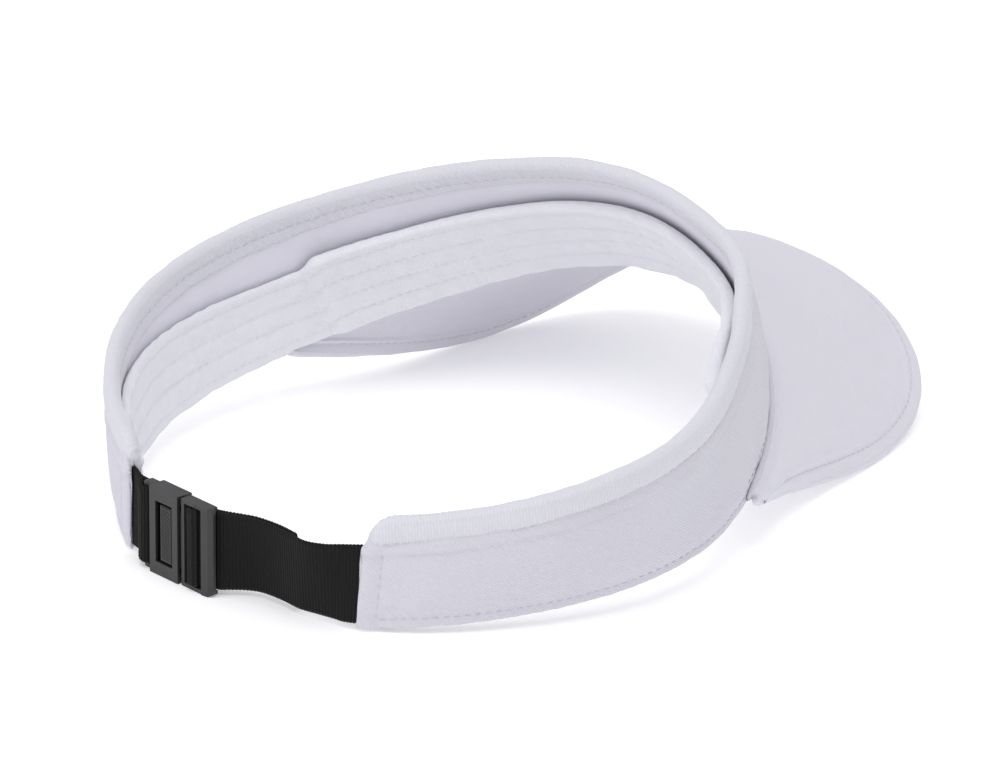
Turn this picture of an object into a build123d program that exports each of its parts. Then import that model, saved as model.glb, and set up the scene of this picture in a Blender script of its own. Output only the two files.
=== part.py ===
from build123d import *
from math import cos, radians, sin, sqrt
import os

# Sun visor with a padded sweatband, a curved brim and a webbing strap with a centre-press buckle.
# Millimetres. +Z is up, the brim points towards -Y and the wearer's left is +X. The visor stands
# on Z = 0 on the two lower corners of its brim and the two rear ends of its band, and the origin
# is the middle of its footprint. Angles round the band run from 0 at the front to 180 at the back.

# Band: its two edges are ovals, and their heights are in the band's own level frame.
bottom_half_width = 97.0
bottom_half_length = 105.5
bottom_skew = 4.2
top_half_width = 101.7
top_half_length = 90.1
top_skew = 3.9
top_setback = 4.6
front_point = 4.3
bottom_saddle = 6.4
bottom_ripple = 1.2
top_mean_height = 40.9
top_front_rise = 6.8
top_saddle = 1.8
band_end_angle = 155.7

# How the finished visor stands: the front is raised until brim and rear ends meet the floor.
rest_tilt = 12.25
ring_setback = 27.1
ring_lift = 17.6

# Layers of the band, as depths inwards from its outer face.
panel_thickness = 0.9
core_thickness = 1.4
lining_thickness = 0.8
layer_gap = 0.1
binding_thickness = 0.6
binding_leg = 8.0
tape_thickness = 0.4
tape_height = 9.0
core_end_angle = 140.0
panel_top_margin = 1.0
core_top_margin = 1.5
inner_foot_height = 1.0
binding_fold_depth = 0.9
band_sections = 31
core_sections = 29

# Sweatband: a thick padded front section and two thinner rear ones.
front_pad_angle = 65.5
front_pad_height = 31.0
front_pad_thickness = 4.2
front_pad_sections = 17
pad_foot_height = 0.3
pad_cover_thickness = 0.7
rear_pad_start_angle = 66.5
rear_pad_end_angle = 153.0
rear_pad_height = 30.0
rear_pad_thickness = 2.8
rear_pad_clearance = 0.4
rear_pad_sections = 13

# Brim: its free edge is a rounded outline on an arched, falling surface.
brim_end_angle = 75.7
brim_half_width = 79.7
brim_reach = 134.2
brim_outline_power = 4.3
brim_outline_centre = -23.9
brim_corner_flare = 12.5
brim_turn = 88.0
brim_arch_radius = 85.9
brim_fall = 0.448
brim_crest_height = 57.3
brim_seam_height = 1.4
brim_seam_gap = 1.0
brim_corner_gap = 1.7
brim_crown = 2.2
brim_full_crown_length = 40.0
brim_sections = 21
brim_cover_thickness = 0.8
brim_stiffener_thickness = 1.7
brim_roll_width = 1.8
brim_roll_thickness = 3.8
brim_roll_taper = 0.5

# Webbing: it lies in the band's rear ends, low enough to centre on the buckle.
web_width = 24.0
web_thickness = 1.4
web_centre_z = 13.6
web_anchor_angle = 142.0
web_anchor_low = 1.2
web_gap = 0.15
anchor_sections = 4
long_strap_sections = 33
short_strap_sections = 41
tail_sections = 25
tail_share = 0.36

# Buckle: it has its own level frame, whose x runs from the adjuster's outer end to the loop bar,
# whose y is outwards from the outer face, and whose z is measured from the webbing's middle.
buckle_x = 2.0
buckle_y = 133.4
buckle_turn = -8.0
buckle_half_height = 13.5
buckle_corner_radius = 2.0
buckle_thickness = 5.5
female_mouth_x = 14.2
female_plate_end_x = 26.9
loop_bar_x = 30.6
loop_bar_y = -2.75
loop_bar_radius = 1.3
loop_web_gap = 0.2
buckle_wall = 0.9
side_wall = 1.2
window_start_x = 16.65
window_end_x = 24.2
window_half_height = 9.5
adjuster_bar_width = 4.0
adjuster_bar_inner_y = -3.2
adjuster_bar_outer_y = -0.3
adjuster_bevel = 1.4
frame_inner_y = -4.4
frame_outer_y = -0.6
centre_bar_x = 8.0
centre_bar_y = -1.9
centre_bar_radius = 1.0
male_front_start_x = 11.8
male_front_end_x = 13.1
running_gap = 0.3
rail_end_x = 25.4
rail_width = 1.3
tongue_hinge_x = 13.75
tongue_hinge_y = -1.7
tongue_root_radius = 0.5
tongue_end_x = 22.2
tongue_half_height = 8.6
pad_start_x = 16.9
pad_outer_y = -0.3


def edge_point(half_width, half_length, skew, setback, height, angle):
    a = radians(angle)
    x = half_width * sin(a) - skew * sin(2 * a)
    y = setback - half_length * cos(a) - front_point * cos(3 * a)
    return Vector(x, y, height)


def bottom_edge(angle):
    a = radians(angle)
    height = bottom_saddle * cos(2 * a) + bottom_ripple * cos(3 * a)
    return edge_point(bottom_half_width, bottom_half_length, bottom_skew, 0, height, angle)


def top_edge(angle):
    a = radians(angle)
    height = top_mean_height + top_front_rise * cos(a) + top_saddle * cos(2 * a)
    return edge_point(top_half_width, top_half_length, top_skew, top_setback, height, angle)


def settle(point):
    tilt = radians(rest_tilt)
    y = cos(tilt) * point.Y + sin(tilt) * point.Z + ring_setback
    z = -sin(tilt) * point.Y + cos(tilt) * point.Z + ring_lift
    return Vector(point.X, y, z)


def band_height(angle):
    return (top_edge(angle) - bottom_edge(angle)).length


def band_outward(angle):
    ahead = bottom_edge(angle + 1) + top_edge(angle + 1)
    behind = bottom_edge(angle - 1) + top_edge(angle - 1)
    rise = top_edge(angle) - bottom_edge(angle)
    return (ahead - behind).cross(rise).normalized()


def band_level(angle, height, depth):
    """A point of the band in its level frame: height is measured up the band from its bottom
    edge, depth inwards from its outer face."""
    rise = (top_edge(angle) - bottom_edge(angle)).normalized()
    return bottom_edge(angle) + rise * height - band_outward(angle) * depth


def band_point(angle, height, depth):
    return settle(band_level(angle, height, depth))


def spread(start, end, count):
    return [start + (end - start) * i / (count - 1) for i in range(count)]


def loop_wire(points):
    return Wire.make_polygon(points, close=True)


def band_strip(start, end, count, low, high, outer, inner):
    """A strip of the band. low and high give its edges' heights at an angle."""
    wires = []
    for angle in spread(start, end, count):
        corners = [(low(angle), outer), (high(angle), outer), (high(angle), inner), (low(angle), inner)]
        wires.append(loop_wire([band_point(angle, height, depth) for height, depth in corners]))
    return Solid.make_loft(wires)


def constant(value):
    return lambda angle: value


def below_top(margin):
    return lambda angle: band_height(angle) - margin


# Depths at which the band's layers start and end.
core_outer = panel_thickness + layer_gap
core_inner = core_outer + core_thickness
lining_outer = core_inner + layer_gap
lining_inner = lining_outer + lining_thickness
tape_outer = lining_inner + layer_gap
tape_inner = tape_outer + tape_thickness
front_pad_outer = tape_inner + layer_gap
rear_pad_outer = tape_outer


def band_outer_panel():
    high = below_top(panel_top_margin)
    return band_strip(-band_end_angle, band_end_angle, band_sections, constant(0), high, 0, panel_thickness)


def band_interfacing():
    low = constant(inner_foot_height)
    high = below_top(core_top_margin)
    return band_strip(-core_end_angle, core_end_angle, core_sections, low, high, core_outer, core_inner)


def band_lining():
    low = constant(inner_foot_height)
    high = below_top(panel_top_margin)
    return band_strip(-band_end_angle, band_end_angle, band_sections, low, high, lining_outer, lining_inner)


def top_edge_binding():
    """A folded tape over the top edge, with one leg on each face of the band."""
    outer_leg = -layer_gap
    inner_leg = tape_outer
    outside = outer_leg - binding_thickness
    inside = inner_leg + binding_thickness
    wires = []
    for angle in spread(-band_end_angle, band_end_angle, band_sections):
        top = band_height(angle)
        foot = top - binding_leg
        fold = top - binding_fold_depth
        corners = [
            (foot, outside),
            (top, outside),
            (top, inside),
            (foot, inside),
            (foot, inner_leg),
            (fold, inner_leg),
            (fold, outer_leg),
            (foot, outer_leg),
        ]
        wires.append(loop_wire([band_point(angle, height, depth) for height, depth in corners]))
    return Solid.make_loft(wires)


def brim_seam_tape():
    end = front_pad_angle
    low = constant(inner_foot_height)
    return band_strip(-end, end, front_pad_sections, low, constant(tape_height), tape_outer, tape_inner)


def front_pad(shrink):
    end = front_pad_angle - shrink
    low = constant(pad_foot_height + shrink)
    high = constant(front_pad_height - shrink)
    inner = front_pad_outer + front_pad_thickness - shrink
    return band_strip(-end, end, front_pad_sections, low, high, front_pad_outer + shrink, inner)


def sweatband_front_cover():
    return front_pad(0) - front_pad(pad_cover_thickness)


def sweatband_front_foam():
    return front_pad(pad_cover_thickness + layer_gap)


def sweatband_rear(side):
    inner = rear_pad_outer + rear_pad_thickness
    start = side * rear_pad_start_angle
    end = side * rear_pad_end_angle

    def high(angle):
        return min(rear_pad_height, band_height(angle) - binding_leg - rear_pad_clearance)

    return band_strip(start, end, rear_pad_sections, constant(pad_foot_height), high, rear_pad_outer, inner)


def brim_seam(angle):
    share = (angle / brim_end_angle) ** 2
    return band_level(angle, brim_seam_height, -brim_seam_gap - brim_corner_gap * share)


def brim_edge(angle):
    """The free edge: a rounded outline in plan, at the height of a falling arch."""
    polar = radians(brim_turn * angle / brim_end_angle)
    across = abs(sin(polar)) / brim_half_width
    forward = abs(cos(polar)) / brim_reach
    radius = (across**brim_outline_power + forward**brim_outline_power) ** (-1 / brim_outline_power)
    x = radius * sin(polar)
    y = brim_outline_centre - radius * cos(polar)
    droop = brim_arch_radius - sqrt(brim_arch_radius**2 - x**2)
    flare = brim_corner_flare * (angle / brim_end_angle) ** 4
    side = 1 if angle >= 0 else -1
    return Vector(x + side * flare, y, brim_crest_height + brim_fall * y - droop)


def brim_frame(angle):
    """The seam point, the direction to the free edge, their distance and the upward normal."""
    seam = brim_seam(angle)
    chord = brim_edge(angle) - seam
    ahead = brim_seam(angle + 1) + brim_edge(angle + 1)
    behind = brim_seam(angle - 1) + brim_edge(angle - 1)
    normal = chord.cross(ahead - behind).normalized()
    if normal.Z + abs(normal.X) < 0:
        normal = -normal
    return seam, chord.normalized(), chord.length, normal


def brim_point(angle, along, height):
    """along is measured from the seam, height from the brim's middle surface."""
    seam, forward, length, normal = brim_frame(angle)
    share = along / length
    crown = brim_crown * 4 * share * (1 - share) * min(1, length / brim_full_crown_length)
    return settle(seam + forward * along + normal * (height + crown))


def brim_layer(low, high):
    wires = []
    for angle in spread(-brim_end_angle, brim_end_angle, brim_sections):
        length = brim_frame(angle)[2]
        marks = [length * share for share in (0, 0.5, 1)]
        upper = [brim_point(angle, mark, high) for mark in marks]
        lower = [brim_point(angle, mark, low) for mark in marks]
        top = ThreePointArc(upper[0], upper[1], upper[2]).edge()
        bottom = ThreePointArc(lower[0], lower[1], lower[2]).edge()
        outer_end = Edge.make_line(upper[2], lower[2])
        inner_end = Edge.make_line(upper[0], lower[0])
        wires.append(Wire([top, outer_end, bottom, inner_end]))
    return Solid.make_loft(wires)


half_stiffener = brim_stiffener_thickness / 2


def brim_stiffener():
    return brim_layer(-half_stiffener, half_stiffener)


def brim_top_cover():
    low = half_stiffener + layer_gap
    return brim_layer(low, low + brim_cover_thickness)


def brim_under_cover():
    high = -half_stiffener - layer_gap
    return brim_layer(high - brim_cover_thickness, high)


def brim_edge_roll():
    """The turned seam of the two covers, round the free edge."""
    half = brim_roll_thickness / 2
    thin = half * brim_roll_taper
    wires = []
    for angle in spread(-brim_end_angle, brim_end_angle, brim_sections):
        length = brim_frame(angle)[2]
        start = length + layer_gap
        end = start + brim_roll_width
        corners = [(start, -half), (start, half), (end, thin), (end, -thin)]
        wires.append(loop_wire([brim_point(angle, along, height) for along, height in corners]))
    return Solid.make_loft(wires)


def buckle_place():
    return Location((buckle_x, buckle_y, web_centre_z), (0, 0, buckle_turn))


def buckle_point(x, y, z=0):
    """A point given in the buckle's frame."""
    turn = radians(buckle_turn)
    across = Vector(cos(turn), sin(turn), 0) * x
    outwards = Vector(-sin(turn), cos(turn), 0) * y
    return Vector(buckle_x, buckle_y, web_centre_z + z) + across + outwards


def block(start_x, end_x, start_y, end_y, start_z, end_z):
    size = Box(end_x - start_x, end_y - start_y, end_z - start_z)
    return Pos((start_x + end_x) / 2, (start_y + end_y) / 2, (start_z + end_z) / 2) * size


def upright_bar(x, y, radius):
    return Pos(x, y, 0) * Cylinder(radius, 2 * buckle_half_height)


def side_pair(start_x, end_x, start_y, end_y, inner_z, outer_z):
    upper = block(start_x, end_x, start_y, end_y, inner_z, outer_z)
    lower = block(start_x, end_x, start_y, end_y, -outer_z, -inner_z)
    return upper + lower


def rounded_plate(start_x, end_x):
    """The buckle's outline from start_x to end_x, as thick as the buckle with room to spare."""
    outline = RectangleRounded(end_x - start_x, 2 * buckle_half_height, buckle_corner_radius)
    plate = extrude(outline, 2 * buckle_thickness, both=True)
    return Pos((start_x + end_x) / 2, 0, 0) * Rot(90, 0, 0) * plate


# Sizes that the buckle's halves share.
opening_half_height = buckle_half_height - side_wall
cavity_outer_y = -buckle_wall
cavity_inner_y = buckle_wall - buckle_thickness


def buckle_female_housing():
    """A flat box, open towards the male half, with a window for the press pad and a loop bar."""
    half = buckle_half_height
    housing = block(female_mouth_x, female_plate_end_x, -buckle_thickness, 0, -half, half)
    cavity_end = female_plate_end_x - buckle_wall
    inside = opening_half_height
    housing -= block(female_mouth_x - 1, cavity_end, cavity_inner_y, cavity_outer_y, -inside, inside)
    opening = window_half_height
    housing -= block(window_start_x, window_end_x, cavity_outer_y - 1, 1, -opening, opening)
    arm_inner_y = loop_bar_y - loop_bar_radius
    arm_outer_y = loop_bar_y + loop_bar_radius
    housing += side_pair(female_plate_end_x, loop_bar_x, arm_inner_y, arm_outer_y, inside, half)
    housing += upright_bar(loop_bar_x, loop_bar_y, loop_bar_radius)
    housing &= rounded_plate(female_mouth_x - buckle_corner_radius, loop_bar_x + loop_bar_radius)
    return housing.solid().moved(buckle_place())


def buckle_male_frame():
    """The adjuster's three bars between two side walls, and two rails that guide the halves."""
    section = [
        (adjuster_bevel / 2, adjuster_bar_inner_y),
        (0, adjuster_bar_inner_y + adjuster_bevel / 2),
        (0, adjuster_bar_outer_y - adjuster_bevel),
        (adjuster_bevel, adjuster_bar_outer_y - adjuster_bevel / 4),
        (adjuster_bar_width, adjuster_bar_outer_y),
        (adjuster_bar_width, adjuster_bar_inner_y),
    ]
    half = buckle_half_height
    face = Face(loop_wire([Vector(x, y, -half) for x, y in section]))
    frame = Solid.extrude(face, Vector(0, 0, 2 * half))
    inside = opening_half_height
    frame += side_pair(adjuster_bevel, male_front_end_x, frame_inner_y, frame_outer_y, inside, half)
    frame += upright_bar(centre_bar_x, centre_bar_y, centre_bar_radius)
    frame += block(male_front_start_x, male_front_end_x, frame_inner_y, frame_outer_y, -half, half)
    rail_inner_y = cavity_inner_y + running_gap
    rail_outer_y = cavity_outer_y - running_gap
    rail_outer_z = inside - running_gap
    rail_inner_z = rail_outer_z - rail_width
    start = male_front_start_x
    frame += side_pair(start, rail_end_x, rail_inner_y, rail_outer_y, rail_inner_z, rail_outer_z)
    frame &= rounded_plate(0, rail_end_x)
    return frame.solid().moved(buckle_place())


def buckle_press_tongue():
    """A spring tongue that starts in a round root; its pad catches behind the window's edge."""
    half = tongue_half_height
    inner_y = tongue_hinge_y - tongue_root_radius
    outer_y = tongue_hinge_y + tongue_root_radius
    tongue = block(tongue_hinge_x, tongue_end_x, inner_y, outer_y, -half, half)
    tongue += Pos(tongue_hinge_x, tongue_hinge_y, 0) * Cylinder(tongue_root_radius, 2 * half)
    tongue += block(pad_start_x, tongue_end_x, outer_y, pad_outer_y, -half, half)
    return tongue.solid().moved(buckle_place())


def web_wire(top, bottom, travel, depth):
    """The webbing's section. top and bottom are its edges on the face to the left of the way it
    travels, depth is how far that face lies to their right, and travel is the direction."""
    right = Vector(travel.Y, -travel.X, 0).normalized()
    near = right * depth
    far = right * (depth + web_thickness)
    return loop_wire([top + near, bottom + near, bottom + far, top + far])


def web_lines(stations):
    """The webbing's two edges, from stations of x, y and how far the top leans outwards."""
    half = web_width / 2
    top = [Vector(x, y + lean / 2, web_centre_z + half) for x, y, lean in stations]
    bottom = [Vector(x, y - lean / 2, web_centre_z - half) for x, y, lean in stations]
    return Spline(top).edge(), Spline(bottom).edge()


def web_run(stations, start, end, count, depth):
    """Sections of webbing between two shares of the way through its stations."""
    top, bottom = web_lines(stations)
    wires = []
    for share in spread(start, end, count):
        travel = top.tangent_at(share) + bottom.tangent_at(share)
        wires.append(web_wire(top.position_at(share), bottom.position_at(share), travel, depth))
    return wires


def web_anchor(side, left_depth, right_depth):
    """Sections of webbing between the outer panel and the lining, out to the band's rear end."""
    wires = []
    low = web_anchor_low
    high = low + web_width
    for angle in spread(web_anchor_angle, band_end_angle, anchor_sections):
        corners = [(high, left_depth), (low, left_depth), (low, right_depth), (high, right_depth)]
        wires.append(loop_wire([band_point(side * angle, height, depth) for height, depth in corners]))
    return wires


def plan(x, y):
    """A station of webbing at a point given in the buckle's frame, standing upright."""
    point = buckle_point(x, y)
    return (point.X, point.Y, 0)


strap_face_y = adjuster_bar_inner_y - layer_gap
long_strap_stations = [
    (-39.4, 123.1, 0.8),
    (-35.6, 124.8, 3.6),
    (-30.0, 126.1, 4.9),
    (-24.0, 126.0, 3.5),
    (-16.5, 124.7, 3.3),
    (-9.0, 124.5, 3.4),
    (-5.0, 125.6, 3.1),
    (-1.5, 127.4, 1.8),
    plan(0, strap_face_y - 1.0),
    plan(2, strap_face_y - 0.2),
    plan(4.3, strap_face_y),
]


def long_strap():
    wires = web_anchor(-1, core_outer, core_inner)
    wires += web_run(long_strap_stations, 0, 1, long_strap_sections, 0)
    return Solid.make_loft(wires, ruled=True)


def tail_depth():
    return web_thickness + web_gap


def strap_tail():
    """The webbing's free end, behind the long strap."""
    wires = web_run(long_strap_stations, tail_share, 1, tail_sections, tail_depth())
    half = web_width / 2
    face_y = strap_face_y - tail_depth()
    back_y = face_y - web_thickness
    corners = [(face_y, half), (face_y, -half), (back_y, -half), (back_y, half)]
    wires.append(loop_wire([buckle_point(centre_bar_x - layer_gap, y, z) for y, z in corners]))
    return Solid.make_loft(wires, ruled=True)


def strap_bight():
    """The webbing inside the adjuster: up through one slot, over the centre bar and down again."""
    reach = centre_bar_radius + layer_gap + web_thickness / 2
    start_x = centre_bar_x - 2 * reach
    lower_y = strap_face_y - web_thickness / 2
    tail_y = lower_y - tail_depth()
    up_x = centre_bar_x - reach
    down_x = centre_bar_x + reach
    bend = reach * sin(radians(45))
    first = ThreePointArc(
        (start_x, lower_y), (start_x + bend, lower_y + reach - bend), (up_x, lower_y + reach)
    )
    rise = Line((up_x, lower_y + reach), (up_x, centre_bar_y))
    over = ThreePointArc((up_x, centre_bar_y), (centre_bar_x, centre_bar_y + reach), (down_x, centre_bar_y))
    fall = Line((down_x, centre_bar_y), (down_x, tail_y + reach))
    last = ThreePointArc(
        (down_x, tail_y + reach), (centre_bar_x + bend, tail_y + reach - bend), (centre_bar_x, tail_y)
    )
    path = Wire([first.edge(), rise.edge(), over.edge(), fall.edge(), last.edge()])
    half_thick = web_thickness / 2
    half = web_width / 2
    solids = []
    for edge in path.edges():
        wires = []
        for share in spread(0, 1, 7):
            point = edge.position_at(share)
            travel = edge.tangent_at(share)
            side = Vector(travel.Y, -travel.X, 0) * half_thick
            corners = [point + side, point - side]
            top = [Vector(corner.X, corner.Y, half) for corner in corners]
            bottom = [Vector(corner.X, corner.Y, -half) for corner in reversed(corners)]
            wires.append(loop_wire(top + bottom))
        solids.append(Solid.make_loft(wires))
    bight = solids[0].fuse(*solids[1:])
    return bight.solid().moved(buckle_place())


def short_strap_loop():
    """Webbing from the band's left rear end round the loop bar and back on itself."""
    radius = loop_bar_radius + loop_web_gap + web_thickness
    stations = [(38.6, 121.9, 0), (35.0, 122.9, 0), plan(loop_bar_x, loop_bar_y - radius)]
    for angle in (215, 180, 145, 90):
        turn = radians(angle)
        stations.append(plan(loop_bar_x + radius * cos(turn), loop_bar_y + radius * sin(turn)))
    stations += [plan(33.2, -1.0), plan(35.0, -2.6), plan(36.6, -3.9)]
    wires = web_anchor(1, core_inner, core_outer)
    wires += web_run(stations, 0, 1, short_strap_sections, 0)
    return Solid.make_loft(wires, ruled=True)


PIECES = {
    "band_outer_panel": band_outer_panel,
    "band_interfacing": band_interfacing,
    "band_lining": band_lining,
    "top_edge_binding": top_edge_binding,
    "brim_seam_tape": brim_seam_tape,
    "sweatband_front_cover": sweatband_front_cover,
    "sweatband_front_foam": sweatband_front_foam,
    "sweatband_left_rear": lambda: sweatband_rear(1),
    "sweatband_right_rear": lambda: sweatband_rear(-1),
    "brim_stiffener": brim_stiffener,
    "brim_top_cover": brim_top_cover,
    "brim_under_cover": brim_under_cover,
    "brim_edge_roll": brim_edge_roll,
    "short_strap_loop": short_strap_loop,
    "long_strap": long_strap,
    "strap_bight": strap_bight,
    "strap_tail": strap_tail,
    "buckle_female_housing": buckle_female_housing,
    "buckle_male_frame": buckle_male_frame,
    "buckle_press_tongue": buckle_press_tongue,
}

os.makedirs("parts", exist_ok=True)
for name, make in PIECES.items():
    solid = make()
    solid.label = name
    export_step(solid, f"parts/{name}.step")
    print(name, "valid" if solid.is_valid else "INVALID", round(solid.volume, 1))
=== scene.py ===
from math import cos, pi, radians, sin

import bmesh
import bpy
import numpy as np
from mathutils import Matrix, Vector
from mathutils.bvhtree import BVHTree


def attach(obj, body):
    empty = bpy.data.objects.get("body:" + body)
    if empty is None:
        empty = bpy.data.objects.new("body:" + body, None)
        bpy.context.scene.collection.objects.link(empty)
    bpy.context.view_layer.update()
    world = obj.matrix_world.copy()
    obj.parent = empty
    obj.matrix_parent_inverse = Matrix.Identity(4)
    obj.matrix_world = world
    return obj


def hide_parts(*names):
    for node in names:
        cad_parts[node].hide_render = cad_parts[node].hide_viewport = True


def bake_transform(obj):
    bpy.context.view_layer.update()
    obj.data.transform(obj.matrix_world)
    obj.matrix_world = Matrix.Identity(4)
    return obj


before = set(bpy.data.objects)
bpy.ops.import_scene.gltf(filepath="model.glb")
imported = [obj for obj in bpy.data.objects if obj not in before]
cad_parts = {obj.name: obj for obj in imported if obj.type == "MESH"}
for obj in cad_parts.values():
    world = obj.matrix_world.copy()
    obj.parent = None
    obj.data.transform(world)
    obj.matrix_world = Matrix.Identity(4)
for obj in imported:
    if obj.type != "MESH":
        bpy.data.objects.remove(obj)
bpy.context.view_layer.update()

# Lengths are millimetres until a mesh is made, which turns them into metres. Angles round the band
# run from 0 at the front (-Y) to 180 at the back, and s is the way along the band from its front.
MM = 0.001

# The band's two edges are ovals in its own level frame, tilted so that the visor stands.
BOTTOM_OVAL = (97.0, 105.5, 4.2, 0.0)
TOP_OVAL = (101.7, 90.1, 3.9, 4.6)
FRONT_POINT = 4.3
BOTTOM_SADDLE = 6.4
BOTTOM_RIPPLE = 1.2
TOP_MEAN_HEIGHT = 40.9
TOP_FRONT_RISE = 6.8
TOP_SADDLE = 1.8
BAND_END_ANGLE = 155.7
REST_TILT = radians(12.25)
RING_SETBACK = 27.1
RING_LIFT = 17.6

# Where the soft band is pushed out at the wearer's right temple: each bulge of the top edge as its
# reach, its angle and its width, and the front pad's stand-off with the angles where it comes and goes.
TEMPLE_BULGES = ((5.0, -39, 15), (1.0, -60, 8))
PAD_STAND_OFF = 4.8
STAND_OFF_ANGLES = (-88, -76, -57, -35)

# Depths inwards from the band's outer face.
LINING_OUTER = 2.5
LINING_INNER = 3.3
LINING_MIDDLE = 2.9
FRONT_PAD_BACK = 3.9
FRONT_PAD_FACE = 8.1
REAR_PAD_BACK = 3.4
REAR_PAD_FACE = 6.2

# Heights up the band, and how far its rolled top binding reaches down each face.
BINDING_LEG = 8.0
INNER_LEG = 10.2
INNER_LEG_CUT = 1.4
PANEL_TUCK = 5.5
CORNER_TUCK = 1.6
CORNER_RADIUS = 8.5
HEM_ROW = 3.0
INNER_ROW = 5.8
END_ROW = 5.5
FRONT_PAD_TOP = 31.0
REAR_PAD_START = 66.5
REAR_PAD_END = 153.0
REAR_PAD_TOP = 27.6
REAR_PAD_TUCK = 3.5
STITCH_PITCH = 3.0

# The brim's free edge, on an arched and falling surface.
BRIM_END_ANGLE = 75.7
BRIM_HALF_WIDTH = 79.7
BRIM_REACH = 134.2
BRIM_POWER = 4.3
BRIM_CENTRE = -23.9
BRIM_FLARE = 12.5
BRIM_TURN = 88.0
BRIM_ARCH_RADIUS = 85.9
BRIM_FALL = 0.448
BRIM_CREST = 57.3
BRIM_SEAM_HEIGHT = 1.4
BRIM_SEAM_GAP = 1.0
BRIM_CORNER_GAP = 1.7
BRIM_CROWN = 2.2
BRIM_HALF_THICKNESS = 1.65
BRIM_ROW = 5.0
BRIM_JOIN_ROW = 6.2
EDGE_ROLL_RADII = (1.75, 1.6)
SEAM_ROLL_RADII = (1.15, 2.2)


# ---------------------------------------------------------------- numbers
def smoothstep(low, high, x):
    t = np.clip((x - low) / (high - low), 0, 1)
    return t * t * (3 - 2 * t)


def bell(distance, width):
    return np.exp(-((distance / width) ** 2))


def noise(seed, u, v=0.0):
    """Smooth random values from -1 to 1 on a lattice whose step is 1."""
    lattice = np.random.default_rng(seed).uniform(-1, 1, (64, 64))
    u, v = np.broadcast_arrays(np.asarray(u, float), np.asarray(v, float))
    i, j = np.floor(u).astype(int), np.floor(v).astype(int)
    a, b = u - i, v - j
    a, b = a * a * (3 - 2 * a), b * b * (3 - 2 * b)
    near = lattice[i % 64, j % 64] * (1 - a) + lattice[(i + 1) % 64, j % 64] * a
    far = lattice[i % 64, (j + 1) % 64] * (1 - a) + lattice[(i + 1) % 64, (j + 1) % 64] * a
    return near * (1 - b) + far * b


def unit(vectors):
    return vectors / np.linalg.norm(vectors, axis=-1, keepdims=True)


def table(keys, values, at):
    """Rows of values read at any place between their keys."""
    return np.stack([np.interp(at, keys, values[:, k]) for k in range(values.shape[1])], -1)


def tables(keys, at, *values):
    """Several tables read at the same places."""
    return [table(keys, rows, at) for rows in values]


def distances(points):
    """How far along a line of points each of them is."""
    return np.concatenate([[0], np.cumsum(np.linalg.norm(np.diff(points, axis=0), axis=1))])


def smooth_line(points, step):
    """A smooth line through the points, as points a step apart."""
    points = np.asarray(points, float)
    padded = np.vstack([2 * points[0] - points[1], points, 2 * points[-1] - points[-2]])
    pieces = []
    for a, b, c, d in zip(padded, padded[1:], padded[2:], padded[3:]):
        t = np.linspace(0, 1, 40, endpoint=False)[:, None]
        cubic = (2 * a - 5 * b + 4 * c - d) + t * (3 * (b - c) + d - a)
        pieces.append(b + 0.5 * t * ((c - a) + t * cubic))
    line = np.vstack(pieces + [points[-1:]])
    length = distances(line)
    return table(length, line, np.linspace(0, length[-1], int(length[-1] / step) + 2))


# ---------------------------------------------------------------- the band's surface
def oval(shape, height, a):
    half_width, half_length, skew, setback = shape
    x = half_width * np.sin(a) - skew * np.sin(2 * a)
    y = setback - half_length * np.cos(a) - FRONT_POINT * np.cos(3 * a)
    return np.stack([x, y, height], -1)


def settle(points):
    x, y, z = np.moveaxis(points, -1, 0)
    back = np.cos(REST_TILT) * y + np.sin(REST_TILT) * z + RING_SETBACK
    up = -np.sin(REST_TILT) * y + np.cos(REST_TILT) * z + RING_LIFT
    return np.stack([x, back, up], -1)


def turn(vectors):
    x, y, z = np.moveaxis(vectors, -1, 0)
    back = np.cos(REST_TILT) * y + np.sin(REST_TILT) * z
    return np.stack([x, back, -np.sin(REST_TILT) * y + np.cos(REST_TILT) * z], -1)


def soft_bulge(a):
    """How far the soft band's top edge is pushed out of its oval at the wearer's right temple."""
    reach = sum(far * bell(np.degrees(a) - place, width) for far, place, width in TEMPLE_BULGES)
    return np.stack([np.sin(a) * reach, -np.cos(a) * reach, 0 * reach], -1)


ANGLES = np.radians(np.linspace(-160, 160, 2561))
BOTTOM_LEVELS = BOTTOM_SADDLE * np.cos(2 * ANGLES) + BOTTOM_RIPPLE * np.cos(3 * ANGLES)
LEVEL_BOTTOM = oval(BOTTOM_OVAL, BOTTOM_LEVELS, ANGLES)
TOP_LEVELS = TOP_MEAN_HEIGHT + TOP_FRONT_RISE * np.cos(ANGLES) + TOP_SADDLE * np.cos(2 * ANGLES)
LEVEL_TOP = oval(TOP_OVAL, TOP_LEVELS, ANGLES) + soft_bulge(ANGLES)
LEVEL_RISE = unit(LEVEL_TOP - LEVEL_BOTTOM)
LEVEL_OUT = unit(np.cross(np.gradient(LEVEL_BOTTOM + LEVEL_TOP, axis=0), LEVEL_RISE))
HEIGHTS = np.linalg.norm(LEVEL_TOP - LEVEL_BOTTOM, axis=1)
MIDDLE = (LEVEL_BOTTOM + LEVEL_TOP) / 2
ALONG = distances(MIDDLE)
ALONG -= np.interp(0, ANGLES, ALONG)
BOTTOM, RISE, OUT = settle(LEVEL_BOTTOM), turn(LEVEL_RISE), turn(LEVEL_OUT)


def s_at(angle):
    return float(np.interp(radians(angle), ANGLES, ALONG))


def angle_at(s):
    return np.degrees(np.interp(s, ALONG, ANGLES))


S_END = s_at(BAND_END_ANGLE)


def band_height(s):
    return np.interp(s, ALONG, HEIGHTS)


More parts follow.
